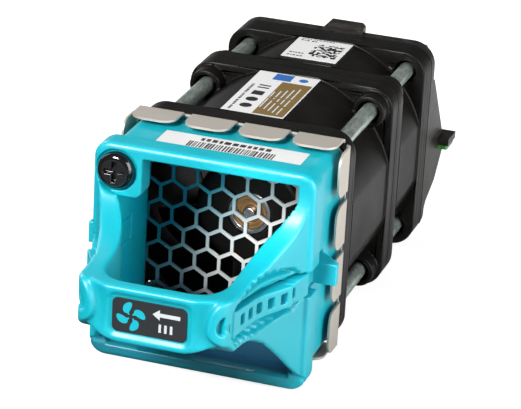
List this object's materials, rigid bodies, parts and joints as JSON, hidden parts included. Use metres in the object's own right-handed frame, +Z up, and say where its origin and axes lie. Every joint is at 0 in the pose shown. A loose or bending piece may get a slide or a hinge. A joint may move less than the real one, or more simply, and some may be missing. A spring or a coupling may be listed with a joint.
{
  "type": "server fan module",
  "caption": "Hot-swap server cooling module: paired in-line axial fans on tie rods, honeycomb guard, bezel with pull handle and squeeze latches, card-edge connector.",
  "frame": {"origin": "centre of the front fan's front face, on the fan axis", "axes": "+Y into the bay along the air path, +Z up, +X to the side with the rear wing"},
  "size_m": [0.0462, 0.1162, 0.0423],
  "materials": {
    "teal_plastic": "glossy moulded",
    "fan_plastic": "fine moulded texture",
    "bracket_plastic": "fine moulded texture",
    "guard_steel": "bright punched sheet",
    "finger_metal": "satin spring sheet",
    "zinc_steel": "pale zinc plating",
    "black_steel": "black plating",
    "bright_steel": "turned",
    "core_steel": "stacked sheet",
    "bush_metal": "turned",
    "copper_wire": "enamelled wire",
    "magnet": "bonded ferrite",
    "board_green": "solder mask",
    "gold_pads": "gold plating",
    "paper_white": "printed label",
    "label_dark": "printed label"
  },
  "bodies": {
    "module": {"front_fan_frame": "fan_plastic", "front_bearing_tube": "bush_metal", "front_bearings": "bright_steel", "front_stator_core": "core_steel", "front_stator_coils": "copper_wire", "front_drive_board": "board_green", "rear_fan_frame": "fan_plastic", "rear_bearing_tube": "bush_metal", "rear_bearings": "bright_steel", "rear_stator_core": "core_steel", "rear_stator_coils": "copper_wire", "rear_drive_board": "board_green", "front_bezel": "teal_plastic", "honeycomb_guard": "guard_steel", "finger_strip_top": "finger_metal", "finger_strip_right": "finger_metal", "finger_strip_bottom": "finger_metal", "finger_strip_left": "finger_metal", "rear_bracket": "bracket_plastic", "connector_board": "board_green", "contact_pads": "gold_pads", "board_screws": "black_steel", "tie_rods": "zinc_steel", "rod_nuts": "zinc_steel", "bezel_screw": "black_steel", "direction_label": "label_dark", "barcode_label": "paper_white", "front_fan_label": "paper_white", "rear_fan_label": "paper_white"},
    "front_rotor": {"front_impeller": "fan_plastic", "front_rotor_yoke": "bright_steel", "front_magnet_ring": "magnet", "front_hub_bush": "bush_metal", "front_shaft": "bright_steel"},
    "rear_rotor": {"rear_impeller": "fan_plastic", "rear_rotor_yoke": "bright_steel", "rear_magnet_ring": "magnet", "rear_hub_bush": "bush_metal", "rear_shaft": "bright_steel"},
    "latch_right": {"latch_right": "teal_plastic"},
    "latch_left": {"latch_left": "teal_plastic"}
  },
  "joints": [
    {"name": "front_rotor_spin", "type": "hinge", "parent": "module", "child": "front_rotor", "pos_m": [0, 0, 0], "axis": [0, 1, 0], "continuous": true},
    {"name": "rear_rotor_spin", "type": "hinge", "parent": "module", "child": "rear_rotor", "pos_m": [0, 0.056, 0], "axis": [0, 1, 0], "continuous": true},
    {"name": "latch_right_pivot", "type": "hinge", "parent": "module", "child": "latch_right", "pos_m": [0.0119, -0.0414, 0.00025], "axis": [0, 0, 1], "range_deg": [0, 6], "stiffness_Nm_per_rad": 0.2},
    {"name": "latch_left_pivot", "type": "hinge", "parent": "module", "child": "latch_left", "pos_m": [-0.0119, -0.0414, 0.00025], "axis": [0, 0, -1], "range_deg": [0, 6], "stiffness_Nm_per_rad": 0.2}
  ]
}
